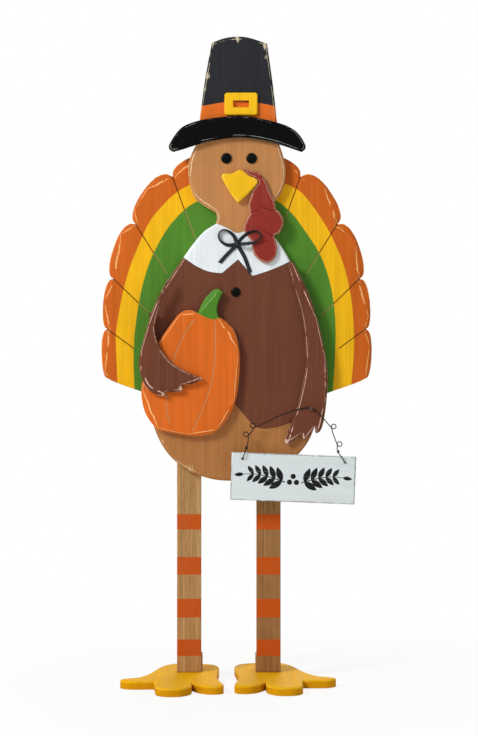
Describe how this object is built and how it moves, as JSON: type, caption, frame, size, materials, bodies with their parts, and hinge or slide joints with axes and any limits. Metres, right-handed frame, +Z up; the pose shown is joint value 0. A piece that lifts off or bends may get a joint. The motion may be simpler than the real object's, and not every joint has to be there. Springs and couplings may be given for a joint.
{
  "type": "thanksgiving turkey figure",
  "caption": "Standing wooden turkey cut from layered boards, with a tall hat, a scalloped tail fan, a pumpkin under one wing, striped legs and a small sign hung on wire.",
  "frame": {"origin": "on the floor, under the middle of the feet and of the tail fan", "axes": "+X to the right and +Y to the back as seen from the front, +Z up"},
  "size_m": [0.3848, 0.2068, 0.9143],
  "materials": {
    "fan_paint": "matt orange, yellow and green paint on wood, worn at the edges",
    "body_paint": "matt brown paint on wood, worn at the edges",
    "black_paint": "matt black paint on wood, worn at the edges",
    "yellow_paint": "matt yellow paint on wood",
    "red_paint": "matt dark red paint on wood",
    "pumpkin_paint": "matt orange paint on wood, worn at the edges",
    "black_gloss": "black gloss paint on wood",
    "foot_paint": "matt yellow paint on wood",
    "striped_wood": "bare wood with painted orange stripes",
    "bare_wood": "bare sawn wood",
    "sign_paint": "matt off-white paint on wood, dark worn edges",
    "black_ribbon": "black woven ribbon",
    "black_wire": "blackened annealed steel wire",
    "screw_steel": "zinc-plated steel"
  },
  "bodies": {
    "turkey": {"tail_fan": "fan_paint", "body_board": "body_paint", "hat_brim": "black_paint", "hat_buckle": "yellow_paint", "eye_left": "black_gloss", "eye_right": "black_gloss", "beak": "yellow_paint", "wattle": "red_paint", "bow_ribbon": "black_ribbon", "coat_button": "black_gloss", "pumpkin": "pumpkin_paint", "wing_over_pumpkin": "body_paint", "wing_spacer": "bare_wood", "wing_with_sign": "body_paint", "leg_left": "striped_wood", "leg_right": "striped_wood", "foot_block_left": "bare_wood", "foot_block_right": "bare_wood", "foot_left": "foot_paint", "foot_right": "foot_paint", "fan_screw_1": "screw_steel", "fan_screw_2": "screw_steel", "fan_screw_3": "screw_steel", "fan_screw_4": "screw_steel", "leg_screw_left_1": "screw_steel", "leg_screw_left_2": "screw_steel", "block_screw_left": "screw_steel", "foot_screw_left_1": "screw_steel", "foot_screw_left_2": "screw_steel", "leg_screw_right_1": "screw_steel", "leg_screw_right_2": "screw_steel", "block_screw_right": "screw_steel", "foot_screw_right_1": "screw_steel", "foot_screw_right_2": "screw_steel", "sign_wire": "black_wire", "wire_nail": "screw_steel"},
    "sign": {"sign_board": "sign_paint"}
  },
  "joints": [
    {"name": "sign_swing", "type": "hinge", "parent": "turkey", "child": "sign", "pos_m": [0.00853, -0.009, 0.31727], "axis": [0.9992, 0, -0.0391], "range_deg": [-12, 12]}
  ]
}
